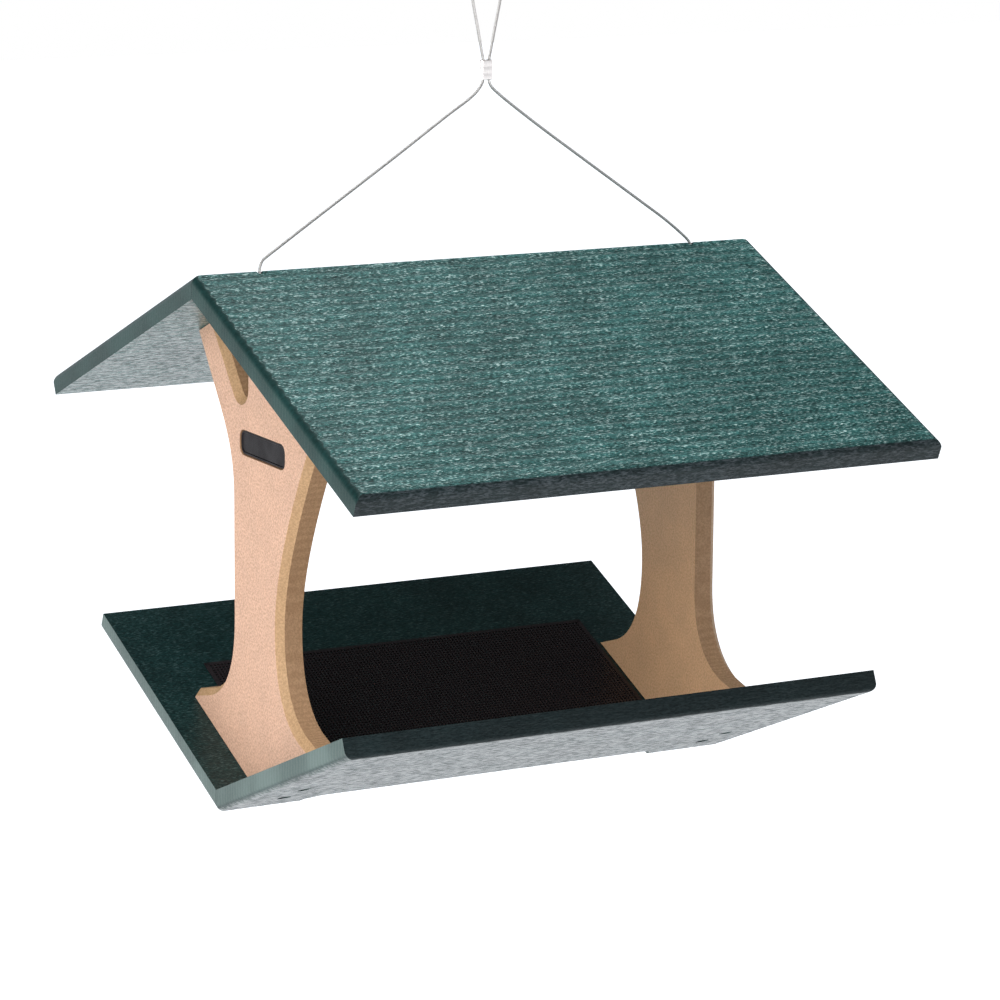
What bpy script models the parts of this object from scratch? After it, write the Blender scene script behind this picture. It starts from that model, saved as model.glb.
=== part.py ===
"""Fly-through bird feeder that hangs on a steel cable.

Two ribbed boards make the roof and two more make a V-shaped tray. A pair of shaped supports
stands between them, and a perforated sheet lies in the tray. The cable runs from one end of the
ridge to the other through a crimped ferrule, above which it makes the hanging loop.

Units are metres. X runs along the ridge, -Y is the front and Z is up. The origin is the inside
of the hanging loop's crown, where the hook bears. The pieces are modelled about the tray's inner
valley and hang from there on one empty.
"""

import math

import bmesh
import bpy
from mathutils import Vector

# Clearance between pieces that touch
GAP = 0.0003

# Roof boards
ROOF_LENGTH = 0.381
ROOF_WIDTH = 0.235
ROOF_PITCH = math.radians(23.0)
ROOF_THICKNESS = 0.0127
ROOF_EAVE_RADIUS = 0.0050

# Tray boards
TRAY_LENGTH = 0.354
TRAY_WIDTH = 0.1905
TRAY_PITCH = math.radians(23.0)
TRAY_THICKNESS = 0.0127
TRAY_EDGE_RADIUS = 0.0022

# Height from the tray's inner valley to the underside of the ridge
HEADROOM = 0.2967

# Ribs and rounded ends of the boards' outer faces
RIB_PITCH = 0.009
RIB_DEPTH = 0.0007
RIB_CREST = 0.6
RIB_MARGIN = 0.0055
BOARD_END_RADIUS = 0.0055

# Drain slot along the tray's valley
DRAIN_LENGTH = 0.243
DRAIN_WIDTH = 0.0245

# Supports
SUPPORT_THICKNESS = 0.0159
SUPPORT_OUTER_SPAN = 0.3064
SUPPORT_CHAMFER = 0.0045

# Outline of a support. Across is Y on the left one. A rise is from the tray's valley, a drop is
# from the underside of the ridge, and a corner is where two straight runs would meet.
WAIST_FRONT = 0.0365
WAIST_FRONT_RISE = 0.102
WAIST_BACK = 0.0283
WAIST_BACK_RISE = 0.098
WAIST_BACK_DROP = 0.1247

# Toes on the tray: (across, rise)
FRONT_TOE_END = (-0.0974, 0.0347)
FRONT_TOE_ROOT = (-0.0700, 0.0434)
FRONT_FOOT_CORNER_RISE = 0.0531
BACK_TOE_END = (0.0902, 0.0316)
BACK_TOE_NOSE = (0.0856, 0.0393)
BACK_TOE_TOP = (0.0839, 0.0405)
BACK_TOE_ROOT = (0.0640, 0.0452)
BACK_FOOT_CORNER_RISE = 0.0538

# Arms under the roof: (across, drop)
FRONT_ARM_END = (-0.1180, 0.0247)
FRONT_ARM_CORNER_DROP = 0.1454
BACK_ARM_END = (0.0890, 0.0172)
BACK_ARM_ROOT = (0.0500, 0.0702)
BACK_ARM_CORNER_DROP = 0.0997

# Notch beside the ridge: (across, drop)
NOTCH_CENTRE = (0.0145, 0.0558)
NOTCH_RADIUS = 0.0072
NOTCH_LEAN = math.radians(50.9)
NOTCH_WALL_LENGTH = 0.056
NOTCH_WALL_DROP = 0.0407
NOTCH_CORNER_DROP = 0.0280
NOTCH_MOUTH = (-0.0220, -0.0013)

# Label pocket and its bare plate, with its centre as (across, drop)
LABEL_LENGTH = 0.0625
LABEL_HEIGHT = 0.0155
LABEL_RADIUS = 0.0055
LABEL_CENTRE = (-0.0158, 0.0893)
LABEL_POCKET_DEPTH = 0.0022
LABEL_PLATE_THICKNESS = 0.0012
LABEL_CLEARANCE = 0.0007

# Perforated seed screen
SCREEN_END_GAP = 0.003
SCREEN_WING = 0.1215
SCREEN_THICKNESS = 0.0009

# Countersunk screws
SCREW_LENGTH = 0.0318
SCREW_SHANK_RADIUS = 0.0021
SCREW_HEAD_RADIUS = 0.0042
SCREW_HEAD_HEIGHT = 0.0025
SCREW_TIP = 0.004
SCREW_RECESS = 0.0014
SCREW_RECESS_DEPTH = 0.0016
SCREW_SINK = 0.0009
ROOF_SCREWS_WIDE_ARM = (0.044, 0.092)
ROOF_SCREWS_NARROW_ARM = (0.066,)
TRAY_SCREWS = (0.030, 0.0605)

# Hanging cable
CABLE_RADIUS = 0.0009
CABLE_SPAN = 0.294
CABLE_HOLE_RADIUS = 0.0020
STOP_RADIUS = 0.0032
STOP_LENGTH = 0.010
FERRULE_WIDTH = 0.0082
FERRULE_THICKNESS = 0.0038
FERRULE_LENGTH = 0.0118
FERRULE_WALL = 0.0006
FERRULE_X = 0.0024
FERRULE_RISE = 0.1063
LOOP_RISE = 0.0745
STRAND_OFFSET = 0.0021

# Faces used on round shapes
SCREW_SIDES = 12
HOLE_SIDES = 20
BEVEL_STEPS = 3

# Sizes that follow from those above, heights being from the tray's inner valley
RIDGE_TOP = HEADROOM + ROOF_THICKNESS / math.cos(ROOF_PITCH)
VALLEY_BOTTOM = -TRAY_THICKNESS / math.cos(TRAY_PITCH)
FERRULE_BOTTOM = RIDGE_TOP + FERRULE_RISE
FERRULE_TOP = FERRULE_BOTTOM + FERRULE_LENGTH
LOOP_CROWN = FERRULE_TOP + LOOP_RISE
SUPPORT_OUTER = SUPPORT_OUTER_SPAN / 2
SUPPORT_INNER = SUPPORT_OUTER - SUPPORT_THICKNESS
SUPPORT_MIDDLE = SUPPORT_OUTER - SUPPORT_THICKNESS / 2
SCREEN_LENGTH = 2 * (SUPPORT_INNER - SCREEN_END_GAP)
STOP_TOP = HEADROOM - STOP_RADIUS * math.tan(ROOF_PITCH) - GAP


def new_scene():
    """Removes what the scene holds, so that the script can be run again."""
    for item in list(bpy.data.objects):
        bpy.data.objects.remove(item, do_unlink=True)


def material(name, colour, roughness, metallic=0.0):
    """A plain Principled material."""
    made = bpy.data.materials.new(name)
    made.use_nodes = True
    shader = made.node_tree.nodes["Principled BSDF"]
    shader.inputs["Base Color"].default_value = (*colour, 1.0)
    shader.inputs["Roughness"].default_value = roughness
    shader.inputs["Metallic"].default_value = metallic
    return made


def add_object(name, data, parent, finish=None):
    """Links an object under its parent and gives it its material."""
    made = bpy.data.objects.new(name, data)
    bpy.context.scene.collection.objects.link(made)
    made.parent = parent
    if finish:
        data.materials.clear()
        data.materials.append(finish)
    return made


def mesh_from(bm, name, smooth_angle=None):
    """Closes a bmesh into a mesh with its faces pointing out."""
    bmesh.ops.recalc_face_normals(bm, faces=bm.faces)
    mesh = bpy.data.meshes.new(name)
    bm.to_mesh(mesh)
    bm.free()
    if smooth_angle:
        mesh.shade_smooth()
        mesh.set_sharp_from_angle(angle=math.radians(smooth_angle))
    return mesh


def extrude_outline(points, direction):
    """A bmesh prism: a face through the points, extruded along a direction."""
    bm = bmesh.new()
    face = bm.faces.new([bm.verts.new(point) for point in points])
    swept = bmesh.ops.extrude_face_region(bm, geom=[face])
    moved = [item for item in swept["geom"] if isinstance(item, bmesh.types.BMVert)]
    bmesh.ops.translate(bm, verts=moved, vec=direction)
    return bm


def turn(profile, sides):
    """A closed profile of (radius, height) pairs, turned round Z."""
    bm = bmesh.new()
    ring = [bm.verts.new((radius, 0, height)) for radius, height in profile]
    edges = [bm.edges.new(pair) for pair in zip(ring, ring[1:])]
    if profile[0][0] > 0 and profile[-1][0] > 0:
        edges.append(bm.edges.new((ring[-1], ring[0])))
    bmesh.ops.spin(bm, geom=ring + edges, cent=(0, 0, 0), axis=(0, 0, 1), angle=math.tau,
                   steps=sides, use_merge=True)
    bmesh.ops.remove_doubles(bm, verts=bm.verts, dist=1e-7)
    return bm


def arc(centre, radius, start, end, steps):
    """Points on an arc, from one angle to another, both in degrees."""
    angles = [math.radians(start + (end - start) * i / steps) for i in range(steps + 1)]
    return [(centre[0] + radius * math.cos(a), centre[1] + radius * math.sin(a)) for a in angles]


def bezier(start, first, second, end, steps):
    """Points on a cubic curve, without its start."""
    found = []
    for i in range(1, steps + 1):
        t = i / steps
        w = ((1 - t) ** 3, 3 * t * (1 - t) ** 2, 3 * t * t * (1 - t), t ** 3)
        found.append(tuple(sum(k * p[axis] for k, p in zip(w, (start, first, second, end)))
                           for axis in (0, 1)))
    return found


def rounded_rectangle(length, height, radius, steps=5):
    """Outline of a rectangle with round corners, about its centre."""
    x, y = length / 2 - radius, height / 2 - radius
    corners = (((x, y), 0), ((-x, y), 90), ((-x, -y), 180), ((x, -y), 270))
    return [p for centre, angle in corners for p in arc(centre, radius, angle, angle + 90, steps)]


def stadium(length, width, steps=8):
    """Outline of a slot with round ends, about its centre."""
    reach = (length - width) / 2
    return (arc((reach, 0), width / 2, -90, 90, steps)
            + arc((-reach, 0), width / 2, 90, 270, steps))


def make_cutter(name, bm, parent):
    """A guide shape that is subtracted from pieces and isn't a piece itself."""
    cutter = add_object(name, mesh_from(bm, name), parent)
    cutter.hide_render = True
    cutter.display_type = "WIRE"
    return cutter


def cut(piece, cutter, operation="DIFFERENCE"):
    """Adds a Boolean modifier."""
    modifier = piece.modifiers.new(cutter.name, "BOOLEAN")
    modifier.operation = operation
    modifier.solver = "EXACT"
    modifier.object = cutter


# Boards

def board_section(width, thickness, pitch, edge_radius):
    """Section of a board: (distance from the mitre's outer edge, height).

    The outer face, at height 0, has ribs and ends in a round edge. The inner face is smooth.
    """
    ribs = int((width - RIB_MARGIN) / RIB_PITCH)
    first = width - RIB_MARGIN - ribs * RIB_PITCH
    shoulder = RIB_PITCH * (1 - RIB_CREST) / 2
    points = [(thickness * math.tan(pitch), -thickness), (0.0, 0.0)]
    for rib in range(ribs):
        groove = first + rib * RIB_PITCH
        if groove - shoulder > BOARD_END_RADIUS * math.tan(pitch):
            points.append((groove - shoulder, 0.0))
            points.append((groove, -RIB_DEPTH))
            points.append((groove + shoulder, 0.0))
    centre = (width - edge_radius, -edge_radius)
    points += arc(centre, edge_radius, 90, 0, BEVEL_STEPS)
    points.append((width, -thickness))
    return points


def board_mesh(name, length, pitch, section):
    """A board along X, rounded over at both ends of its outer face."""
    angles = [math.radians(15 + 75 * i / BEVEL_STEPS) for i in range(BEVEL_STEPS + 1)]
    ends = [(BOARD_END_RADIUS * (math.cos(angles[0]) - math.cos(a)), math.sin(a)) for a in angles]
    stations = [(-length / 2 + inset, share) for inset, share in ends]
    stations += [(length / 2 - inset, share) for inset, share in reversed(ends)]

    bm = bmesh.new()
    drawn = bm.verts.layers.float_vector.new("drawn")
    verts = [bm.verts.new((0, *point)) for point in section]
    for vert in verts:
        vert[drawn] = vert.co
    face = bm.faces.new(verts)
    end = [face, *face.edges, *face.verts]
    for x, share in stations:
        if x > stations[0][0]:
            end = bmesh.ops.extrude_face_region(bm, geom=end)["geom"]
        for vert in end:
            if isinstance(vert, bmesh.types.BMVert):
                vert.co = (x, *settled(vert[drawn].y, vert[drawn].z, share, math.tan(pitch)))
    return mesh_from(bm, name, smooth_angle=30)


def settled(distance, height, share, lean):
    """Where a point of the section comes to lie as the board's end is rounded over."""
    if height > -BOARD_END_RADIUS:
        height = (height + BOARD_END_RADIUS) * share - BOARD_END_RADIUS
    return max(distance, -height * lean), height


def make_boards(frame, green):
    """The four boards, each hung by the outer edge of its mitre."""
    roof = board_mesh("roof_board", ROOF_LENGTH, ROOF_PITCH,
                      board_section(ROOF_WIDTH, ROOF_THICKNESS, ROOF_PITCH, ROOF_EAVE_RADIUS))
    tray = board_mesh("tray_board", TRAY_LENGTH, TRAY_PITCH,
                      board_section(TRAY_WIDTH, TRAY_THICKNESS, TRAY_PITCH, TRAY_EDGE_RADIUS))
    boards = {}
    for name, mesh, height, side, turned in (
        ("roof_panel_back", roof, RIDGE_TOP, 1, (-ROOF_PITCH, 0, 0)),
        ("roof_panel_front", roof, RIDGE_TOP, -1, (-ROOF_PITCH, 0, math.pi)),
        ("base_panel_back", tray, VALLEY_BOTTOM, 1, (-TRAY_PITCH, math.pi, 0)),
        ("base_panel_front", tray, VALLEY_BOTTOM, -1, (-TRAY_PITCH, math.pi, math.pi)),
    ):
        board = add_object(name, mesh, frame, green)
        board.location = (0, side * GAP / 2, height)
        board.rotation_euler = turned
        boards[name] = board
    return boards


# Supports

def below_ridge(across, drop):
    """A point at a drop below the underside of the ridge."""
    return across, HEADROOM - drop


def bend(start, corner, end, first_share, second_share, steps):
    """A smooth bend in place of a corner, without its start."""
    first = Vector(start).lerp(Vector(corner), first_share)
    second = Vector(end).lerp(Vector(corner), second_share)
    return bezier(start, first, second, end, steps)


def support_outline():
    """Outline of a support in (across, height), before it is cut to the boards.

    Toes and arms run on past the boards' faces.
    """
    foot = (WAIST_BACK, WAIST_BACK_RISE)
    points = [(BACK_TOE_END[0], VALLEY_BOTTOM), BACK_TOE_END, BACK_TOE_NOSE, BACK_TOE_TOP,
              BACK_TOE_ROOT]
    points += bend(BACK_TOE_ROOT, (WAIST_BACK, BACK_FOOT_CORNER_RISE), foot, 0.62, 0.68, 7)
    points.append(below_ridge(WAIST_BACK, WAIST_BACK_DROP))
    points += bend(points[-1], below_ridge(WAIST_BACK, BACK_ARM_CORNER_DROP),
                   below_ridge(*BACK_ARM_ROOT), 0.96, 0.60, 6)
    points.append(below_ridge(*BACK_ARM_END))

    # The notch: a leaning wall, a round bottom and a wall that bends away under the ridge
    lean = math.degrees(NOTCH_LEAN)
    bottom = arc(below_ridge(*NOTCH_CENTRE), NOTCH_RADIUS, lean - 90, -180, 8)
    points.append((bottom[0][0] + math.cos(NOTCH_LEAN) * NOTCH_WALL_LENGTH,
                   bottom[0][1] + math.sin(NOTCH_LEAN) * NOTCH_WALL_LENGTH))
    points += bottom
    near_wall = NOTCH_CENTRE[0] - NOTCH_RADIUS
    points.append(below_ridge(near_wall, NOTCH_WALL_DROP))
    points += bend(points[-1], below_ridge(near_wall, NOTCH_CORNER_DROP),
                   below_ridge(*NOTCH_MOUTH), 1.00, 0.60, 5)

    points.append((FRONT_ARM_END[0], points[-1][1]))
    points.append(below_ridge(*FRONT_ARM_END))
    points += bend(points[-1], below_ridge(-WAIST_FRONT, FRONT_ARM_CORNER_DROP),
                   (-WAIST_FRONT, WAIST_FRONT_RISE), 0.66, 0.76, 12)
    points += bend(points[-1], (-WAIST_FRONT, FRONT_FOOT_CORNER_RISE), FRONT_TOE_ROOT,
                   0.72, 0.59, 7)
    points += [FRONT_TOE_END, (FRONT_TOE_END[0], VALLEY_BOTTOM)]
    return points


def support_mesh():
    """The left support, its outer face's edges chamfered."""
    outline = [(-SUPPORT_OUTER, across, height) for across, height in support_outline()]
    bm = extrude_outline(outline, (SUPPORT_THICKNESS, 0, 0))
    tolerance = 1e-6
    rim = [edge for edge in bm.edges
           if all(vert.co.x < tolerance - SUPPORT_OUTER for vert in edge.verts)]
    bmesh.ops.bevel(bm, geom=rim, offset=SUPPORT_CHAMFER, offset_type="OFFSET", segments=1,
                    profile=0.5, affect="EDGES", material=-1)
    return mesh_from(bm, "support", smooth_angle=20)


def make_supports(frame, tan):
    """Two supports of one pattern, the right one turned half round."""
    mesh = support_mesh()
    supports = {}
    for name, turned in (("support_left", 0.0), ("support_right", math.pi)):
        supports[name] = add_object(name, mesh, frame, tan)
        supports[name].rotation_euler = (0, 0, turned)
    return supports


def seat_space(frame):
    """The room between the tray's and the roof's inner faces, which the supports fill."""
    half = ROOF_WIDTH / 2
    floor = GAP / math.cos(TRAY_PITCH)
    ceiling = HEADROOM - GAP / math.cos(ROOF_PITCH)
    rise, fall = half * math.tan(TRAY_PITCH), half * math.tan(ROOF_PITCH)
    outline = [(0, floor), (half, floor + rise), (half, ceiling - fall), (0, ceiling),
               (-half, ceiling - fall), (-half, floor + rise)]
    reach = SUPPORT_OUTER + SUPPORT_THICKNESS
    bm = extrude_outline([(-reach, y, z) for y, z in outline], (2 * reach, 0, 0))
    return make_cutter("seat_space", bm, frame)


def label_outline(clearance):
    """The label's outline on the left support, drawn in by a clearance."""
    shape = rounded_rectangle(LABEL_LENGTH - 2 * clearance, LABEL_HEIGHT - 2 * clearance,
                              LABEL_RADIUS - clearance)
    across, height = below_ridge(*LABEL_CENTRE)
    return [(across + y, height + z) for y, z in shape]


def make_labels(frame, supports, black):
    """A shallow pocket in each support's outer face, and the bare plate that lies in it."""
    floor = -SUPPORT_OUTER + LABEL_POCKET_DEPTH
    plate = extrude_outline([(floor - GAP, y, z) for y, z in label_outline(LABEL_CLEARANCE)],
                            (-LABEL_PLATE_THICKNESS, 0, 0))
    plate_mesh = mesh_from(plate, "label_plate")
    for side, support in supports.items():
        pocket = extrude_outline([(floor, y, z) for y, z in label_outline(0.0)],
                                 (-2 * LABEL_POCKET_DEPTH, 0, 0))
        cut(support, make_cutter("label_pocket_" + side.split("_")[1], pocket, support))
        add_object("label_plate_" + side.split("_")[1], plate_mesh, support, black)


# Seed screen

def make_screen(frame, black):
    """A sheet bent to the tray's V, which lies loose between the supports."""
    run = SCREEN_WING * math.cos(TRAY_PITCH)
    rise = SCREEN_WING * math.sin(TRAY_PITCH)
    lift = GAP / math.cos(TRAY_PITCH)
    skin = SCREEN_THICKNESS / math.cos(TRAY_PITCH)
    outline = [(run, rise), (run, rise + skin), (0, skin), (-run, rise + skin), (-run, rise),
               (0, 0)]
    bm = extrude_outline([(-SCREEN_LENGTH / 2, y, z) for y, z in outline],
                         (SCREEN_LENGTH, 0, 0))
    screen = add_object("seed_screen", mesh_from(bm, "seed_screen"), frame, black)
    screen.location = (0, 0, lift)


# Screws

def screw_profile(clearance):
    """Half section of a screw below the rim of its head."""
    shank = SCREW_SHANK_RADIUS + clearance
    head = SCREW_HEAD_RADIUS + clearance
    return [(head, -0.0004), (shank, -SCREW_HEAD_HEIGHT), (shank, SCREW_TIP - SCREW_LENGTH),
            (0.0, -SCREW_LENGTH - clearance)]


def screw_mesh():
    """A countersunk screw with a square recess, its head's top at the origin."""
    profile = [(0.0, -SCREW_RECESS_DEPTH), (SCREW_RECESS, -SCREW_RECESS_DEPTH),
               (SCREW_RECESS, 0.0), (SCREW_HEAD_RADIUS, 0.0)]
    bm = turn(profile + screw_profile(0.0), SCREW_SIDES)
    for vert in bm.verts:
        across = math.hypot(vert.co.x, vert.co.y)
        if abs(across - SCREW_RECESS) < 1e-6:
            square = SCREW_RECESS / max(abs(vert.co.x), abs(vert.co.y))
            vert.co.x *= square
            vert.co.y *= square
    return mesh_from(bm, "screw", smooth_angle=30)


def screw_places(boards):
    """Name, board and place on the board of every screw."""
    for board in boards.values():
        kind, _, side = board.name.split("_")
        if kind == "roof":
            spots = [(SUPPORT_MIDDLE, s) for s in ROOF_SCREWS_WIDE_ARM]
            spots += [(-SUPPORT_MIDDLE, s) for s in ROOF_SCREWS_NARROW_ARM]
        else:
            spots = [(x, s) for x in (SUPPORT_MIDDLE, -SUPPORT_MIDDLE) for s in TRAY_SCREWS]
        for number, (x, distance) in enumerate(spots, start=1):
            yield f"{kind}_screw_{side}_{number}", board, (x, distance, -SCREW_SINK)


def make_screws(frame, boards, supports, green_steel, steel):
    """The screws and the holes that they go through."""
    mesh = screw_mesh()
    roof_mesh = mesh.copy()
    bpy.context.view_layer.update()
    holes = bmesh.new()
    above = 4 * SCREW_SINK
    for name, board, place in screw_places(boards):
        on_roof = name.startswith("roof")
        screw = add_object(name, roof_mesh if on_roof else mesh, board,
                           green_steel if on_roof else steel)
        screw.location = place
        head = SCREW_HEAD_RADIUS + GAP
        hole = turn([(0.0, above), (head, above)] + screw_profile(GAP), SCREW_SIDES)
        bmesh.ops.translate(hole, verts=hole.verts, vec=place)
        bmesh.ops.transform(hole, verts=hole.verts, matrix=board.matrix_local)
        shape = bpy.data.meshes.new("screw_hole")
        hole.to_mesh(shape)
        hole.free()
        holes.from_mesh(shape)
        bpy.data.meshes.remove(shape)
    cutter = make_cutter("screw_holes", holes, frame)
    for piece in list(boards.values()) + list(supports.values()):
        cut(piece, cutter)


# Hanging cable

def cable_route():
    """Route of the cable in the plane y = 0, chosen by hand: (x, height)."""
    left, right = -CABLE_SPAN / 2, CABLE_SPAN / 2
    up, down = FERRULE_X - STRAND_OFFSET, FERRULE_X + STRAND_OFFSET
    foot = STOP_TOP - STOP_LENGTH - 0.0012
    low, high, crown = FERRULE_BOTTOM, FERRULE_TOP, LOOP_CROWN
    top = RIDGE_TOP
    return [
        (left, foot), (left, STOP_TOP), (left, top - 0.003), (left + 0.0004, top + 0.0030),
        (left + 0.0020, top + 0.0062), (left + 0.0048, top + 0.0084),
        (left + 0.0100, top + 0.0118), (-0.120, top + 0.0229), (-0.095, top + 0.0391),
        (-0.060, top + 0.0617), (-0.025, top + 0.0849), (-0.0056, low - 0.0087),
        (-0.0010, low - 0.0036), (up, low - 0.0008), (up, low + 0.0020), (up, high - 0.0020),
        (up, high + 0.0008), (up - 0.0008, high + 0.0046), (up - 0.0036, high + 0.0183),
        (up - 0.0074, high + 0.0370), (up - 0.0092, high + 0.0525), (up - 0.0072, crown - 0.0065),
        (0.0, crown), (down + 0.0046, crown - 0.0065), (down + 0.0092, high + 0.0525),
        (down + 0.0074, high + 0.0370), (down + 0.0036, high + 0.0183),
        (down + 0.0008, high + 0.0046), (down, high + 0.0008), (down, high - 0.0020),
        (down, low + 0.0020), (down, low - 0.0008), (0.0061, low - 0.0042), (0.0110, low - 0.0087),
        (0.0342, low - 0.0259), (0.0716, top + 0.0545), (0.1102, top + 0.0280),
        (right - 0.0175, top + 0.0146), (right - 0.0062, top + 0.0056),
        (right - 0.0026, top + 0.0024), (right - 0.0003, top - 0.0006), (right, top - 0.0045),
        (right, STOP_TOP), (right, foot),
    ]


def smooth_points(route, turn_step=12.0, length_step=0.016):
    """Points along a smooth curve through the route, closer together where it bends."""
    knots = [Vector((x, 0, z)) for x, z in route]
    knots = [2 * knots[0] - knots[1]] + knots + [2 * knots[-1] - knots[-2]]
    found = [knots[1]]
    for p0, p1, p2, p3 in zip(knots, knots[1:], knots[2:], knots[3:]):
        times = [0.0]
        for a, b in ((p0, p1), (p1, p2), (p2, p3)):
            times.append(times[-1] + math.sqrt((b - a).length))
        bend = math.degrees((p1 - p0).angle(p2 - p1) + (p2 - p1).angle(p3 - p2)) / 2
        count = max(1, round(bend / turn_step), round((p2 - p1).length / length_step))
        for i in range(1, count + 1):
            t = times[1] + (times[2] - times[1]) * i / count
            found.append(catmull_rom((p0, p1, p2, p3), times, t))
    return found


def catmull_rom(points, times, t):
    """Point at time t on the curve that passes through the middle two points."""
    for reach in (1, 2):
        points = [
            points[i].lerp(points[i + 1], (t - times[i]) / (times[i + reach] - times[i]))
            for i in range(len(points) - 1)
        ]
    return points[0].lerp(points[1], (t - times[1]) / (times[2] - times[1]))


def make_cable(frame, steel_rope):
    """The steel cable, one unbroken tube from stop to stop."""
    curve = bpy.data.curves.new("hanging_cable", "CURVE")
    curve.dimensions = "3D"
    curve.bevel_depth = CABLE_RADIUS
    curve.bevel_resolution = 2
    curve.use_fill_caps = True
    points = smooth_points(cable_route())
    spline = curve.splines.new("POLY")
    spline.points.add(len(points) - 1)
    for slot, point in zip(spline.points, points):
        slot.co = (*point, 1.0)
    add_object("hanging_cable", curve, frame, steel_rope)


def make_ferrule(frame, aluminium):
    """The flat crimp sleeve that joins the cable's two strands under the loop."""
    bore_width = 2 * (STRAND_OFFSET + CABLE_RADIUS + GAP)
    bore_thickness = FERRULE_THICKNESS - 2 * FERRULE_WALL
    outer = stadium(FERRULE_WIDTH, FERRULE_THICKNESS)
    bm = extrude_outline([(x, y, 0) for x, y in outer], (0, 0, FERRULE_LENGTH))
    rims = [edge for edge in bm.edges if abs(edge.verts[0].co.z - edge.verts[1].co.z) < 1e-7]
    bmesh.ops.bevel(bm, geom=rims, offset=FERRULE_WALL / 2, segments=1, profile=0.5,
                    affect="EDGES", material=-1)
    ferrule = add_object("cable_ferrule", mesh_from(bm, "cable_ferrule", 30), frame, aluminium)
    ferrule.location = (FERRULE_X, 0, FERRULE_BOTTOM)
    bore = stadium(bore_width, bore_thickness)
    reach = FERRULE_LENGTH / 4
    hole = extrude_outline([(x, y, -reach) for x, y in bore],
                           (0, 0, FERRULE_LENGTH + 2 * reach))
    cut(ferrule, make_cutter("ferrule_bore", hole, ferrule))


def make_stops(frame, boards, steel):
    """Crimped stops under the ridge, and the holes that the cable takes through it."""
    bore = CABLE_RADIUS + GAP
    profile = [(bore, 0.0), (STOP_RADIUS - GAP, 0.0), (STOP_RADIUS, -GAP),
               (STOP_RADIUS, GAP - STOP_LENGTH), (STOP_RADIUS - GAP, -STOP_LENGTH),
               (bore, -STOP_LENGTH)]
    mesh = mesh_from(turn(profile, SCREW_SIDES), "cable_stop", smooth_angle=30)
    holes = bmesh.new()
    for side, x in (("left", -CABLE_SPAN / 2), ("right", CABLE_SPAN / 2)):
        stop = add_object("cable_stop_" + side, mesh, frame, steel)
        stop.location = (x, 0, STOP_TOP)
        low = HEADROOM - ROOF_THICKNESS
        made = bmesh.ops.create_cone(holes, cap_ends=True, segments=HOLE_SIDES,
                                     radius1=CABLE_HOLE_RADIUS, radius2=CABLE_HOLE_RADIUS,
                                     depth=3 * ROOF_THICKNESS)
        bmesh.ops.translate(holes, verts=made["verts"], vec=(x, 0, low + ROOF_THICKNESS))
    cutter = make_cutter("cable_holes", holes, frame)
    cut(boards["roof_panel_front"], cutter)
    cut(boards["roof_panel_back"], cutter)


def cut_drain(frame, boards):
    """The slot with round ends that lets rain out of the tray's valley."""
    outline = stadium(DRAIN_LENGTH, DRAIN_WIDTH)
    low = VALLEY_BOTTOM - TRAY_THICKNESS
    bm = extrude_outline([(x, y, low) for x, y in outline], (0, 0, 3 * TRAY_THICKNESS))
    cutter = make_cutter("drain_slot", bm, frame)
    cut(boards["base_panel_front"], cutter)
    cut(boards["base_panel_back"], cutter)


def build():
    """Makes the feeder."""
    new_scene()
    green = material("green_board", (0.020, 0.095, 0.085), 0.45)
    tan = material("tan_board", (0.55, 0.36, 0.21), 0.5)
    black_plate = material("label_black", (0.010, 0.010, 0.012), 0.3)
    black_sheet = material("screen_black", (0.008, 0.008, 0.010), 0.4)
    green_steel = material("painted_screw", (0.020, 0.095, 0.085), 0.4)
    steel = material("screw_steel", (0.45, 0.45, 0.45), 0.35, 1.0)
    rope = material("cable_steel", (0.55, 0.55, 0.55), 0.3, 1.0)
    aluminium = material("ferrule_aluminium", (0.75, 0.75, 0.75), 0.35, 1.0)

    frame = bpy.data.objects.new("feeder_frame", None)
    bpy.context.scene.collection.objects.link(frame)
    frame.location = (0, 0, CABLE_RADIUS - LOOP_CROWN)

    boards = make_boards(frame, green)
    supports = make_supports(frame, tan)
    room = seat_space(frame)
    for support in supports.values():
        cut(support, room, "INTERSECT")
    cut_drain(frame, boards)
    make_labels(frame, supports, black_plate)
    make_screws(frame, boards, supports, green_steel, steel)
    make_screen(frame, black_sheet)
    make_cable(frame, rope)
    make_ferrule(frame, aluminium)
    make_stops(frame, boards, steel)


build()
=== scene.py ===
"""Fly-through bird feeder of recycled plastic boards, hanging on a steel cable.

Metres, in the row frame: the origin is the inside of the hanging loop's crown, X runs along the
ridge, -Y is the front and Z is up. Sizes repeat those of the part.
"""

import math

import bmesh
import bpy
from mathutils import Euler, Matrix, Vector


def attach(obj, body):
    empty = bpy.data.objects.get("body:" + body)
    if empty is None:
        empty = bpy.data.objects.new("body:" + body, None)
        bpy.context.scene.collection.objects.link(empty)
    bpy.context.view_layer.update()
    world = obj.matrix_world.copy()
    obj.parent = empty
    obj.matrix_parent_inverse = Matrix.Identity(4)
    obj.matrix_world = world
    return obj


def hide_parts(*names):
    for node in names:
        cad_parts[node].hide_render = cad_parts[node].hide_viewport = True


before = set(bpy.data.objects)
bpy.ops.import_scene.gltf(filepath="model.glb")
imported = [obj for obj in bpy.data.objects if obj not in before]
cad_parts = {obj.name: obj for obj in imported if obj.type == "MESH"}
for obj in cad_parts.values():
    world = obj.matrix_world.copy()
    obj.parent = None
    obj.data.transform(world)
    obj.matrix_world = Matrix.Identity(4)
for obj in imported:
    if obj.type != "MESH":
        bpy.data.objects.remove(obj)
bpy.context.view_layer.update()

GAP = 0.0003
ROOF = {"length": 0.381, "width": 0.235, "thickness": 0.0127, "pitch": math.radians(23),
        "edge": 0.0050, "ribs": 0.0007}
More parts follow.
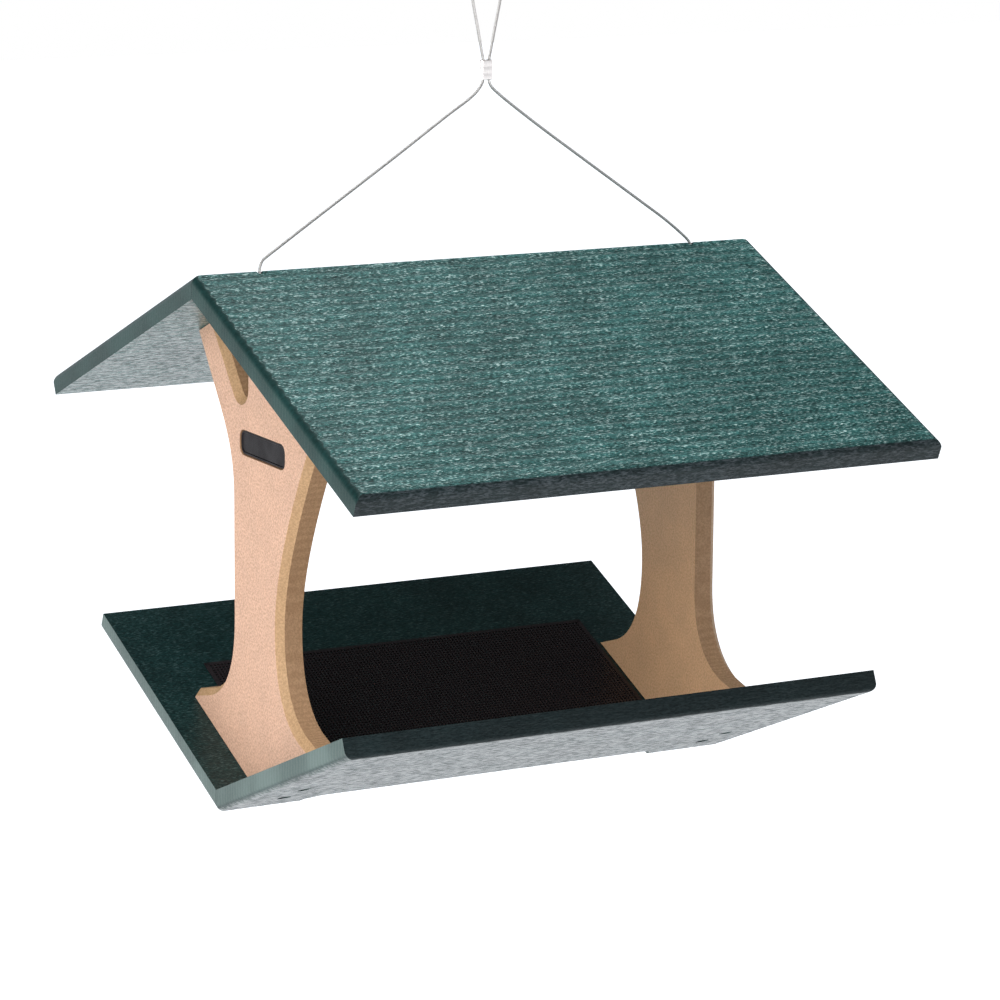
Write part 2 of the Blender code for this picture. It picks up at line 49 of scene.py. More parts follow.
TRAY = {"length": 0.354, "width": 0.1905, "thickness": 0.0127, "pitch": math.radians(23),
        "edge": 0.0022, "ribs": 0.0002}
HEADROOM = 0.2967
RIB_PITCH, RIB_MARGIN, RIB_STEPS = 0.009, 0.0055, 8
BOARD_END, ROUND_START, ROUND_STEPS = 0.0055, 12, 12
DRAIN_LENGTH, DRAIN_WIDTH = 0.243, 0.0245
SUPPORT_THICKNESS = 0.0159
SUPPORT_OUTER = 0.1532
SUPPORT_CHAMFER = 0.0045
SKIN_DEPTH = 0.0003
WAIST_FRONT, WAIST_BACK = 0.0365, 0.0283
NOTCH_RADIUS, NOTCH_CENTRE, NOTCH_LEAN = 0.0072, (0.0145, 0.2409), math.radians(50.9)
NOTCH_WALL = 0.056
LABEL_LENGTH, LABEL_HEIGHT, LABEL_RADIUS = 0.0625, 0.0155, 0.0055
LABEL_CENTRE = (-0.0158, 0.2074)
LABEL_DEPTH, LABEL_THICKNESS, LABEL_CLEARANCE = 0.0022, 0.0012, 0.0007
LABEL_RIM, LABEL_STEP, LABEL_SINK = 0.0010, 0.0004, 0.0005
SCREEN_LENGTH, SCREEN_WING, SCREEN_THICKNESS = 0.2686, 0.1215, 0.0009
SCREEN_PITCH, SCREEN_WIRE, SCREEN_BORDER = 0.00238, 0.0009, 0.0026
SCREEN_COLUMN_SHARE, SCREEN_ROW_SHARE = 0.94, 0.86
SCREW_LENGTH, SCREW_SHANK, SCREW_HEAD, SCREW_HEAD_HEIGHT = 0.0318, 0.0021, 0.0042, 0.0025
SCREW_TIP, SCREW_RECESS, SCREW_RECESS_DEPTH = 0.004, 0.0028, 0.0016
PAINTED_RECESS, PAINTED_RECESS_DEPTH = 0.0018, 0.0006
SCREW_EDGE, SCREW_RIM, SCREW_HOLE_TOP = 0.0002, 0.0004, 0.003
SCREW_SINK, SCREW_FLUSH, SCREW_CLEARANCE = 0.0009, 0.0004, 0.0001
CABLE_RADIUS, CABLE_SPAN, CABLE_HOLE, CABLE_LAY = 0.0009, 0.294, 0.0020, 0.0125
STOP_RADIUS, STOP_LENGTH, CABLE_TAIL = 0.0032, 0.010, 0.0012
FERRULE_WIDTH, FERRULE_THICKNESS, FERRULE_LENGTH = 0.0082, 0.0038, 0.0118
FERRULE_WALL, FERRULE_X, FERRULE_RISE = 0.0006, 0.0024, 0.1063
CRIMP_GROOVES, CRIMP_SLOPE, CRIMP_SQUEEZE = ((0.24, 0.42), (0.58, 0.76)), 0.06, 0.93
CRIMP_EDGE = 0.0003
LOOP_RISE, STRAND_OFFSET = 0.0745, 0.0021
STRANDS, STRAND_STEPS = 6, 6
CUTTER_HEIGHT = 0.04
# Full round ends stay this much short of half the width, so that their bevels don't meet
HAIR = 1e-5

RIDGE_TOP = HEADROOM + ROOF["thickness"] / math.cos(ROOF["pitch"])
VALLEY_BOTTOM = -TRAY["thickness"] / math.cos(TRAY["pitch"])
FERRULE_BOTTOM = RIDGE_TOP + FERRULE_RISE
FERRULE_TOP = FERRULE_BOTTOM + FERRULE_LENGTH
LOOP_CROWN = FERRULE_TOP + LOOP_RISE
STOP_TOP = HEADROOM - STOP_RADIUS * math.tan(ROOF["pitch"]) - GAP
# The feeder is drawn from the tray's inner valley and then lowered to hang from the loop
HANG = Matrix.Translation((0, 0, CABLE_RADIUS - LOOP_CROWN))


# Mesh helpers

def finished(bm, name, finish, node=None, body="feeder", smooth=35):
    """Makes a bmesh into a piece that rides on a body and stands for a node."""
    bmesh.ops.remove_doubles(bm, verts=bm.verts, dist=1e-7)
    bmesh.ops.recalc_face_normals(bm, faces=bm.faces)
    mesh = bpy.data.meshes.new(name)
    bm.to_mesh(mesh)
    bm.free()
    mesh.shade_smooth()
    mesh.set_sharp_from_angle(angle=math.radians(smooth))
    piece = bpy.data.objects.new(name, mesh)
    bpy.context.scene.collection.objects.link(piece)
    if finish:
        mesh.materials.append(finish)
        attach(piece, body)
    if node:
        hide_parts(node)
    return piece


def carved(piece, cutters):
    """Cuts other shapes out of a piece for good, and removes them."""
    for cutter in cutters:
        modifier = piece.modifiers.new(cutter.name, "BOOLEAN")
        modifier.operation = "DIFFERENCE"
        modifier.solver = "EXACT"
        modifier.object = cutter
    made = bpy.data.meshes.new_from_object(
        piece.evaluated_get(bpy.context.evaluated_depsgraph_get()))
    made.name = piece.name
    piece.modifiers.clear()
    piece.data = made
    made.shade_smooth()
    made.set_sharp_from_angle(angle=math.radians(35))
    for cutter in cutters:
        bpy.data.objects.remove(cutter, do_unlink=True)
    return piece


def block(size, centre=(0, 0, 0), rounded=0.0, along=2, segments=8):
    """A block whose four edges along one axis may be rounded."""
    bm = bmesh.new()
    bmesh.ops.create_cube(bm, size=1)
    bmesh.ops.scale(bm, vec=size, verts=bm.verts)
    if rounded:
        others = [axis for axis in range(3) if axis != along]
        edges = [e for e in bm.edges
                 if all(abs(e.verts[0].co[k] - e.verts[1].co[k]) < 1e-9 for k in others)]
        bmesh.ops.bevel(bm, geom=edges, offset=rounded, segments=segments, profile=0.5,
                        affect="EDGES", material=-1)
    bmesh.ops.translate(bm, vec=centre, verts=bm.verts)
    return bm


def turned(profile, sides=28):
    """A closed shape turned round Z from its (radius, height) outline."""
    bm = bmesh.new()
    ring = [bm.verts.new((radius, 0, height)) for radius, height in profile]
    edges = [bm.edges.new(pair) for pair in zip(ring, ring[1:])]
    if profile[0][0] > 0 and profile[-1][0] > 0:
        edges.append(bm.edges.new((ring[-1], ring[0])))
    bmesh.ops.spin(bm, geom=ring + edges, cent=(0, 0, 0), axis=(0, 0, 1), angle=math.tau,
                   steps=sides, use_merge=True)
    bmesh.ops.remove_doubles(bm, verts=bm.verts, dist=1e-7)
    bmesh.ops.recalc_face_normals(bm, faces=bm.faces)
    return bm


def trimmed(bm, through, outward):
    """Saws off what lies beyond a plane and closes the cut."""
    cut = bmesh.ops.bisect_plane(bm, geom=[*bm.verts, *bm.edges, *bm.faces], plane_co=through,
                                 plane_no=outward, clear_outer=True, dist=1e-7)
    edges = [item for item in cut["geom_cut"] if isinstance(item, bmesh.types.BMEdge)]
    bmesh.ops.holes_fill(bm, edges=edges, sides=0)


def rims(bm, axis, place, tolerance=1e-6):
    """Edges that lie wholly in one plane across an axis."""
    return [e for e in bm.edges if all(abs(v.co[axis] - place) < tolerance for v in e.verts)]


# Node helpers

def node(tree, kind, inputs=None, **settings):
    """Adds a shader node; its inputs take values or other nodes' sockets."""
    made = tree.nodes.new("ShaderNode" + kind)
    for key, value in settings.items():
        setattr(made, key, value)
    for name, value in (inputs or {}).items():
        if isinstance(value, bpy.types.NodeSocket):
            tree.links.new(value, made.inputs[name])
        else:
            made.inputs[name].default_value = value
    return made


def sums(tree, operation, first, second=0.0):
    """A Math node's result."""
    return node(tree, "Math", {0: first, 1: second}, operation=operation).outputs[0]


def stepped(tree, value, low, high, bottom=0.0, top=1.0):
    """A value remapped smoothly from one range to another."""
    made = node(tree, "MapRange", {"Value": value, "From Min": low, "From Max": high,
                                   "To Min": bottom, "To Max": top},
                interpolation_type="SMOOTHSTEP")
    return made.outputs["Result"]


def blended(tree, factor, first, second):
    """Two colours mixed."""
    made = node(tree, "Mix", {"Factor": factor}, data_type="RGBA")
    for socket, value in ((made.inputs[6], first), (made.inputs[7], second)):
        if isinstance(value, bpy.types.NodeSocket):
            tree.links.new(value, socket)
        else:
            socket.default_value = (*value, 1.0)
    return made.outputs[2]


def new_group(name, inputs, outputs):
    """An empty node group with named sockets."""
    group = bpy.data.node_groups.new(name, "ShaderNodeTree")
    kinds = {"value": "NodeSocketFloat", "vector": "NodeSocketVector", "colour": "NodeSocketColor"}
    for label, kind, default in inputs:
        socket = group.interface.new_socket(label, in_out="INPUT", socket_type=kinds[kind])
        if default is not None:
            socket.default_value = default
    for label, kind in outputs:
        group.interface.new_socket(label, in_out="OUTPUT", socket_type=kinds[kind])
    return group, group.nodes.new("NodeGroupInput"), group.nodes.new("NodeGroupOutput")


def use_group(tree, group, inputs):
    """Places a node group in a material."""
    made = tree.nodes.new("ShaderNodeGroup")
    made.node_tree = group
    for name, value in inputs.items():
        if isinstance(value, bpy.types.NodeSocket):
            tree.links.new(value, made.inputs[name])
        else:
            made.inputs[name].default_value = value
    return made


def new_material(name, **constants):
    """A Principled material with its constant values set on the shader's own sockets."""
    made = bpy.data.materials.new(name)
    made.use_nodes = True
    tree = made.node_tree
    shader = tree.nodes["Principled BSDF"]
    for label, value in constants.items():
        shader.inputs[label.replace("_", " ")].default_value = value
    return made, tree, shader


def joined(tree, shader, **sockets):
    """Links sockets to the shader's inputs."""
    for label, socket in sockets.items():
        tree.links.new(socket, shader.inputs[label.replace("_", " ")])


# Shared surface effects

def make_drawn_grain():
    """Fibres, flecks and waves drawn out along X, as on an extruded and brushed board."""
    group, given, result = new_group(
        "Drawn grain",
        [("Position", "vector", None), ("Fineness", "value", 1500.0), ("Stretch", "value", 0.45)],
        [("Tone", "value"), ("Fleck", "value"), ("Streak", "value"), ("Wave", "value"),
         ("Cloud", "value"), ("Height", "value")])
    across = node(group, "CombineXYZ", {"X": given.outputs["Stretch"], "Y": 1.0, "Z": 1.0})
    drawn = node(group, "VectorMath", {0: given.outputs["Position"], 1: across.outputs[0]},
                 operation="MULTIPLY")
    noises = []
    for share, detail, roughness in ((1.0, 2.0, 0.6), (0.28, 3.0, 0.6), (0.38, 2.0, 0.6)):
        scale = sums(group, "MULTIPLY", given.outputs["Fineness"], share)
        noises.append(node(group, "TexNoise", {"Vector": drawn.outputs[0], "Scale": scale,
                                               "Detail": detail, "Roughness": roughness}))
    fine, coarse, wave = (made.outputs[0] for made in noises)
    cloud = node(group, "TexNoise", {"Vector": given.outputs["Position"], "Scale": 26.0,
                                     "Detail": 3.0})
    patchy = sums(group, "ADD", fine, stepped(group, coarse, 0.30, 0.64, -0.06, 0.05))
    height = sums(group, "ADD", sums(group, "MULTIPLY", fine, 0.7),
                  sums(group, "ADD", sums(group, "MULTIPLY", coarse, 0.8), wave))
    for label, socket in (("Tone", stepped(group, fine, 0.30, 0.68)),
                          ("Fleck", stepped(group, patchy, 0.58, 0.70)),
                          ("Streak", stepped(group, coarse, 0.34, 0.66)),
                          ("Wave", stepped(group, wave, 0.38, 0.62)),
                          ("Cloud", cloud.outputs[0]), ("Height", height)):
        group.links.new(socket, result.inputs[label])
    return group


def make_speckle():
    """Round grains of mixed size, as in the skin of a moulded sheet."""
    group, given, result = new_group(
        "Speckle", [("Position", "vector", None), ("Fineness", "value", 1000.0)],
        [("Grain", "value"), ("Blotch", "value")])
    fine = node(group, "TexNoise", {"Vector": given.outputs["Position"],
                                    "Scale": given.outputs["Fineness"], "Detail": 2.0,
                                    "Roughness": 0.7})
    blotch = node(group, "TexNoise", {"Vector": given.outputs["Position"], "Scale": 45.0,
                                      "Detail": 4.0, "Roughness": 0.6})
    group.links.new(stepped(group, fine.outputs[0], 0.34, 0.66), result.inputs["Grain"])
    group.links.new(blotch.outputs[0], result.inputs["Blotch"])
    return group


def make_cut_faces():
    """Masks of a board's ends, rims, edges and underside, and fine marks of the saw."""
    group, given, result = new_group(
        "Cut faces", [("Position", "vector", None), ("Spacing", "value", 0.0036)],
        [("Ends", "value"), ("Rims", "value"), ("Edges", "value"), ("Undersides", "value"),
         ("Marks", "value")])
    face = node(group, "NewGeometry")
    normal = node(group, "SeparateXYZ", {0: face.outputs["Normal"]})
    sideways = sums(group, "ABSOLUTE", normal.outputs["X"])
    forwards = sums(group, "ABSOLUTE", normal.outputs["Y"])
    turns = sums(group, "DIVIDE", 1.0, given.outputs["Spacing"])
    line = node(group, "SeparateXYZ", {0: given.outputs["Position"]})
    wobble = node(group, "TexNoise", {"Vector": given.outputs["Position"], "Scale": 160.0,
                                      "Detail": 2.0})
    phase = sums(group, "ADD", sums(group, "MULTIPLY", line.outputs["Y"], turns),
                 sums(group, "MULTIPLY", wobble.outputs[0], 0.8))
    wave = sums(group, "SINE", sums(group, "MULTIPLY", phase, math.tau))
    for label, value, low, high in (("Ends", sideways, 0.80, 0.97), ("Rims", sideways, 0.06, 0.30),
                                    ("Edges", forwards, 0.55, 0.80),
                                    ("Undersides", normal.outputs["Z"], -0.5, -0.8),
                                    ("Marks", wave, -0.6, 1.0)):
        group.links.new(stepped(group, value, low, high), result.inputs[label])
    return group


def green_board(name, grain, cuts, dark, light, fleck_glint, wear_and_sheen, rims_tone, ends, rib_painted_light_and_shade):
    """Green recycled board: brushed faces with raised fibres whose pale flecks are painted glints,
    crests painted lighter and grooves darker as rib shading, eave faces painted dark as shade with
    streaks of painted sheen, and smooth rims.
    """
    made, tree, shader = new_material(name, IOR=1.5, Specular_IOR_Level=0.26, Coat_Roughness=0.35,
                                      Coat_IOR=1.65)
    where = node(tree, "TexCoord").outputs["Object"]
    fibres = use_group(tree, grain, {"Position": where, "Fineness": 1600.0, "Stretch": 0.26})
    faces = use_group(tree, cuts, {"Position": where, "Spacing": 0.0036})
    brushed = blended(tree, fibres.outputs["Tone"], dark, light)
    # The flecks are raised fibres; their pale colour is a painted glint.
    flecked = blended(tree, fibres.outputs["Fleck"], brushed, fleck_glint)
    # Crests are painted lighter and grooves darker across the ribs: a painted highlight and
    # painted shade of the ribs.
    across = sums(tree, "MULTIPLY", node(tree, "SeparateXYZ", {0: where}).outputs["Y"],
                  math.tau / (RIB_PITCH * math.cos(ROOF["pitch"])))
    rib_painted_shading = stepped(tree, sums(tree, "COSINE", across), -1.0, 1.0, 1 - rib_painted_light_and_shade, 1 + rib_painted_light_and_shade)
    ribbed = node(tree, "HueSaturation", {"Color": flecked, "Value": rib_painted_shading}).outputs[0]
    # Eave faces are painted near-black as shade, and the pale bluish streaks on them are painted
    # sheen.
    eave_painted_shade = blended(tree, fibres.outputs["Tone"], (0.002, 0.008, 0.009), (0.012, 0.024, 0.026))
    eave_shade_and_sheen = blended(tree, sums(tree, "MULTIPLY", fibres.outputs["Wave"], fibres.outputs["Tone"]),
                      eave_painted_shade, wear_and_sheen)
    edged = blended(tree, faces.outputs["Edges"], ribbed, eave_shade_and_sheen)
    smooth = blended(tree, fibres.outputs["Streak"], *rims_tone)
    rimmed = blended(tree, faces.outputs["Rims"], edged, smooth)
    mottled = blended(tree, fibres.outputs["Cloud"], ends[0], ends[1])
    sawn = blended(tree, sums(tree, "MULTIPLY", faces.outputs["Marks"], 0.15), mottled, ends[2])
    colour = blended(tree, faces.outputs["Ends"], rimmed, sawn)
    cloud = stepped(tree, fibres.outputs["Cloud"], 0.35, 0.65, 0.86, 1.14)
    tinted = node(tree, "HueSaturation", {"Color": colour, "Value": cloud})
    roughness = stepped(tree, fibres.outputs["Tone"], 0.0, 1.0, 0.52, 0.38)
    gloss = stepped(tree, fibres.outputs["Wave"], 0.0, 1.0, 0.05, 1.0)
    calm = stepped(tree, faces.outputs["Rims"], 0.0, 1.0, 1.0, 0.25)
    depth = sums(tree, "MULTIPLY", fibres.outputs["Height"], calm)
    bump = node(tree, "Bump", {"Height": depth, "Strength": 0.6, "Distance": 0.0005})
    joined(tree, shader, Base_Color=tinted.outputs[0], Roughness=roughness,
           Normal=bump.outputs[0],
           Coat_Weight=sums(tree, "MULTIPLY", faces.outputs["Undersides"], gloss))
    return made


def tan_board(name, speckle, cuts):
    """Cedar-coloured recycled board: pink skin outside, the same skin on the inner faces painted
    golden as warm bounce light, a darker core, and the chamfer painted lighter than the core.
    """
    made, tree, shader = new_material(name, IOR=1.45)
    where = node(tree, "TexCoord").outputs["Object"]
    place = node(tree, "SeparateXYZ", {0: where})
    outside = stepped(tree, sums(tree, "ABSOLUTE", place.outputs["X"]),
                      SUPPORT_OUTER - SKIN_DEPTH, SUPPORT_OUTER - SKIN_DEPTH / 3)
    grains = use_group(tree, speckle, {"Position": where, "Fineness": 750.0})
    faces = use_group(tree, cuts, {"Position": where, "Spacing": 0.0022})
    skin = blended(tree, grains.outputs["Grain"], (0.65, 0.385, 0.260), (0.89, 0.58, 0.42))
    core = blended(tree, grains.outputs["Grain"], (0.46, 0.270, 0.145), (0.58, 0.350, 0.200))
    # The chamfer gets the core's tone set lighter, as painted light for how light falls on it.
    chamfer_painted_light = blended(tree, grains.outputs["Grain"], (0.50, 0.300, 0.150), (0.64, 0.400, 0.215))
    ringed = blended(tree, sums(tree, "MULTIPLY", faces.outputs["Marks"], 0.3), core,
                     (0.34, 0.185, 0.085))
    edged = blended(tree, faces.outputs["Rims"], ringed, chamfer_painted_light)
    # The inner faces carry the same skin, painted more golden as warm bounce light.
    inner_skin_bounce_light = blended(tree, grains.outputs["Grain"], (0.76, 0.450, 0.240), (0.94, 0.580, 0.335))
    inside = blended(tree, faces.outputs["Ends"], edged, inner_skin_bounce_light)
    colour = blended(tree, outside, inside, skin)
    shade = stepped(tree, grains.outputs["Blotch"], 0.30, 0.70, 0.96, 1.04)
    tinted = node(tree, "HueSaturation", {"Color": colour, "Value": shade})
    roughness = stepped(tree, grains.outputs["Grain"], 0.0, 1.0, 0.62, 0.46)
    bump = node(tree, "Bump", {"Height": grains.outputs["Grain"], "Strength": 0.4,
                               "Distance": 0.00025})
    joined(tree, shader, Base_Color=tinted.outputs[0], Roughness=roughness,
           Normal=bump.outputs[0])
    return made


def coated(name, speckle, dark, light, rough, **constants):
    """Paint, plastic or metal with fine grain in its colour, gloss and surface."""
    made, tree, shader = new_material(name, **constants)
    where = node(tree, "TexCoord").outputs["Object"]
    grains = use_group(tree, speckle, {"Position": where, "Fineness": 1500.0})
    colour = blended(tree, grains.outputs["Grain"], dark, light)
    wear_and_sheen = stepped(tree, grains.outputs["Blotch"], 0.3, 0.7, rough[0], rough[1])
    bump = node(tree, "Bump", {"Height": grains.outputs["Grain"], "Strength": 0.3,
                               "Distance": 0.00008})
    joined(tree, shader, Base_Color=colour, Roughness=wear_and_sheen, Normal=bump.outputs[0])
    return made


# Boards

def rib_layout(width):
    """The number of ribs on a board, and the first one's distance from the mitre."""
    ribs = int((width - RIB_MARGIN) / RIB_PITCH)
    return ribs, width - RIB_MARGIN - ribs * RIB_PITCH


def rib_drop(distance, width, depth):
    """How far the outer face lies below its crests at a distance from the mitre."""
    ribs, first = rib_layout(width)
    rib = min(max(round((distance - first) / RIB_PITCH), 0), ribs - 1)
    off = abs(distance - first - rib * RIB_PITCH) / RIB_PITCH
    return depth * (1 + math.cos(math.tau * min(off, 0.5))) / 2


def board_end(width, thickness, pitch, edge, ribs_depth):
    """A board's section in the plane x = 0: ribbed on top, mitred, with a round outer edge."""
    bm = bmesh.new()
    corners = ((0, -thickness), (width, -thickness), (width, 0), (0, 0))
    bm.faces.new([bm.verts.new((0, *corner)) for corner in corners])
    ribs, first = rib_layout(width)
    for rib in range(ribs):
        for step in range(-RIB_STEPS // 2, RIB_STEPS // 2):
            line = first + (rib + step / RIB_STEPS) * RIB_PITCH
            bmesh.ops.bisect_plane(bm, geom=[*bm.verts, *bm.edges, *bm.faces],
                                   plane_co=(0, line, 0), plane_no=(0, 1, 0), dist=1e-8)
    for vert in bm.verts:
        if vert.co.z > -1e-6 and vert.co.y < width - RIB_MARGIN:
            vert.co.z = -rib_drop(vert.co.y, width, ribs_depth)
    bmesh.ops.bisect_plane(bm, geom=[*bm.verts, *bm.edges, *bm.faces], plane_co=(0, 0, 0),
                           plane_no=(0, -1, -math.tan(pitch)), clear_outer=True, dist=1e-8)
    corner = max(bm.verts, key=lambda vert: vert.co.y + vert.co.z)
    bmesh.ops.bevel(bm, geom=[corner], offset=edge, segments=7, profile=0.5,
                    affect="VERTICES", material=-1)
    return bm


def board(name, size, place, finish, holes):
    """A ribbed board, its end section swept along X and rounded over at both ends."""
    length, width, pitch = size["length"], size["width"], size["pitch"]
    bm = board_end(width, size["thickness"], pitch, size["edge"], size["ribs"])
    drawn = bm.verts.layers.float_vector.new("drawn")
    for vert in bm.verts:
        vert[drawn] = vert.co
    angles = [math.radians(ROUND_START + (90 - ROUND_START) * i / ROUND_STEPS)
              for i in range(ROUND_STEPS + 1)]
    ends = [(BOARD_END * (math.cos(angles[0]) - math.cos(a)), math.sin(a)) for a in angles]
    stations = [(-length / 2 + inset, share) for inset, share in ends]
    stations += [(length / 2 - inset, share) for inset, share in reversed(ends)]
    end = [*bm.verts, *bm.edges, *bm.faces]
    for x, share in stations:
        if x > stations[0][0]:
            end = bmesh.ops.extrude_face_region(bm, geom=end)["geom"]
        for vert in end:
            if isinstance(vert, bmesh.types.BMVert):
                across, height = vert[drawn].y, vert[drawn].z
                height = min(height, BOARD_END * (share - 1))
                vert.co = (x, max(across, -height * math.tan(pitch)), height)
    bmesh.ops.transform(bm, matrix=place, verts=bm.verts)
    piece = finished(bm, name + "_ribbed", finish, name)
    return carved(piece, holes)


def board_places():
    """Where each board's outer mitre edge lies, and which way the board slopes."""
    found = {}
    for kind, height, pitch, over in (("roof", RIDGE_TOP, ROOF["pitch"], 0),
                                      ("base", VALLEY_BOTTOM, TRAY["pitch"], math.pi)):
        for side, offset, turn in (("back", GAP / 2, 0), ("front", -GAP / 2, math.pi)):
            found[f"{kind}_panel_{side}"] = (HANG @ Matrix.Translation((0, offset, height))
                                             @ Euler((-pitch, over, turn)).to_matrix().to_4x4())
    return found


def cable_holes():
    """The two holes through the ridge."""
    made = []
    for x in (-CABLE_SPAN / 2, CABLE_SPAN / 2):
        bm = bmesh.new()
        bmesh.ops.create_cone(bm, cap_ends=True, segments=28, radius1=CABLE_HOLE,
                              radius2=CABLE_HOLE, depth=0.95 * CUTTER_HEIGHT)
        bmesh.ops.translate(bm, vec=HANG @ Vector((x, 0, HEADROOM)), verts=bm.verts)
        made.append(finished(bm, "cable_hole", None))
    return made


def drain_cutter():
    """The slot with round ends along the tray's valley."""
    bm = block((DRAIN_LENGTH, DRAIN_WIDTH, CUTTER_HEIGHT), HANG @ Vector((0, 0, 0)),
               DRAIN_WIDTH / 2 - HAIR, segments=12)
    return finished(bm, "drain_slot", None)


# Supports

def support_knots():
    """Knots of a support's outline: (point, handle before it or None, handle after it or None)."""
    reach = NOTCH_RADIUS * 4 / 3 * math.tan((math.pi / 2 + NOTCH_LEAN) / 8)
    centre = Vector(NOTCH_CENTRE)
    arc = []
    for share in (0, 0.5, 1):
        angle = NOTCH_LEAN - math.pi / 2 - share * (math.pi / 2 + NOTCH_LEAN)
        out = Vector((math.cos(angle), math.sin(angle)))
        along = Vector((out.y, -out.x)) * reach
        point = centre + out * NOTCH_RADIUS
        arc.append((point, point - along if share else None, point + along if share < 1 else None))
    wall = arc[0][0] + Vector((math.cos(NOTCH_LEAN), math.sin(NOTCH_LEAN))) * NOTCH_WALL
    near = NOTCH_CENTRE[0] - NOTCH_RADIUS
    return [
        ((0.0902, -0.0138), None, None), ((0.0902, 0.0316), None, None),
        ((0.0856, 0.0393), None, None), ((0.0839, 0.0405), None, None),
        ((0.0640, 0.0452), None, (0.0419, 0.0505)),
        ((WAIST_BACK, 0.098), (WAIST_BACK, 0.0679), None),
        ((WAIST_BACK, 0.172), None, (WAIST_BACK, 0.196)),
        ((0.050, 0.2265), (0.0370, 0.2088), None), ((0.089, 0.2795), None, None),
        (wall, None, None), *arc, ((near, 0.256), None, (near, 0.2687)),
        ((-0.022, 0.298), (-0.0044, 0.2804), None), ((-0.118, 0.298), None, None),
        ((-0.118, 0.272), None, (-0.0642, 0.1923)),
        ((-WAIST_FRONT, 0.102), (-WAIST_FRONT, 0.1395), (-WAIST_FRONT, 0.0668)),
        ((-0.0700, 0.0434), (-0.0502, 0.0491), None), ((-0.0974, 0.0347), None, None),
        ((-0.0974, -0.0138), None, None),
    ]


def support_blank():
    """The support's outline, drawn as a curve and filled, in the plane of its inner face."""
    curve = bpy.data.curves.new("support_outline", "CURVE")
    curve.dimensions = "2D"
    curve.fill_mode = "BOTH"
    curve.resolution_u = 14
    knots = support_knots()
    spline = curve.splines.new("BEZIER")
    spline.bezier_points.add(len(knots) - 1)
    spline.use_cyclic_u = True
    for slot, (point, before, after) in zip(spline.bezier_points, knots):
        slot.co = (*point, 0)
        slot.handle_left_type = "FREE" if before else "VECTOR"
        slot.handle_right_type = "FREE" if after else "VECTOR"
        if before:
            slot.handle_left = (*before, 0)
        if after:
            slot.handle_right = (*after, 0)
    drawing = bpy.data.objects.new("support_outline", curve)
    bpy.context.scene.collection.objects.link(drawing)
    bm = bmesh.new()
    bm.from_mesh(bpy.data.meshes.new_from_object(
        drawing.evaluated_get(bpy.context.evaluated_depsgraph_get())))
    bpy.data.objects.remove(drawing, do_unlink=True)
    bmesh.ops.remove_doubles(bm, verts=bm.verts, dist=1e-6)
    bmesh.ops.dissolve_faces(bm, faces=bm.faces, use_verts=False)
    to_side = Matrix(((0, 0, 1, -SUPPORT_OUTER + SUPPORT_THICKNESS), (1, 0, 0, 0), (0, 1, 0, 0),
                      (0, 0, 0, 1)))
    bmesh.ops.transform(bm, matrix=to_side, verts=bm.verts)
    return bm


def support(name, turn, finish, holes):
    """A support, its outer face's edges chamfered by a router."""
    bm = support_blank()
    swept = bmesh.ops.extrude_face_region(bm, geom=[*bm.verts, *bm.edges, *bm.faces])
    bmesh.ops.translate(bm, vec=(-SUPPORT_THICKNESS, 0, 0),
                        verts=[v for v in swept["geom"] if isinstance(v, bmesh.types.BMVert)])
    bmesh.ops.bevel(bm, geom=rims(bm, 0, -SUPPORT_OUTER), offset=SUPPORT_CHAMFER,
                    offset_type="OFFSET", segments=1, profile=0.5, affect="EDGES", material=-1)
    floor = GAP / math.cos(TRAY["pitch"])
    ceiling = HEADROOM - GAP / math.cos(ROOF["pitch"])
    for side in (-1, 1):
        trimmed(bm, (0, 0, floor), (0, side * math.sin(TRAY["pitch"]), -math.cos(TRAY["pitch"])))
        trimmed(bm, (0, 0, ceiling), (0, side * math.sin(ROOF["pitch"]),
                                      math.cos(ROOF["pitch"])))
    bmesh.ops.transform(bm, matrix=HANG @ turn, verts=bm.verts)
    piece = finished(bm, name + "_board", finish, name, smooth=30)
    return carved(piece, holes)


def label_pocket(turn):
    """The shallow pocket that the label plate lies in."""
    bm = block((2 * LABEL_DEPTH, LABEL_LENGTH, LABEL_HEIGHT), (-SUPPORT_OUTER, *LABEL_CENTRE),
               LABEL_RADIUS, along=0)
    bmesh.ops.transform(bm, matrix=HANG @ turn, verts=bm.verts)
    return finished(bm, "label_pocket", None)


def label_plate(name, turn, finish):
    """A bare plate with a fine raised rim, sunk in its pocket."""
    floor = -SUPPORT_OUTER + LABEL_DEPTH - GAP
    long, high = LABEL_LENGTH - 2 * LABEL_CLEARANCE, LABEL_HEIGHT - 2 * LABEL_CLEARANCE
    bm = block((LABEL_THICKNESS, long, high), (floor - LABEL_THICKNESS / 2, *LABEL_CENTRE),
               LABEL_RADIUS - LABEL_CLEARANCE, along=0)
    face = min(bm.faces, key=lambda f: f.calc_center_median().x)
    bmesh.ops.inset_region(bm, faces=[face], thickness=LABEL_RIM, depth=0.0)
    bmesh.ops.inset_region(bm, faces=[face], thickness=LABEL_STEP, depth=-LABEL_SINK)
    bmesh.ops.transform(bm, matrix=HANG @ turn, verts=bm.verts)
    return finished(bm, name + "_bare", finish, name)


# Seed screen

def bar(bm, size, centre):
    """Adds a square bar to a bmesh."""
    verts = bmesh.ops.create_cube(bm, size=1)["verts"]
    bmesh.ops.scale(bm, vec=size, verts=verts)
    bmesh.ops.translate(bm, vec=centre, verts=verts)


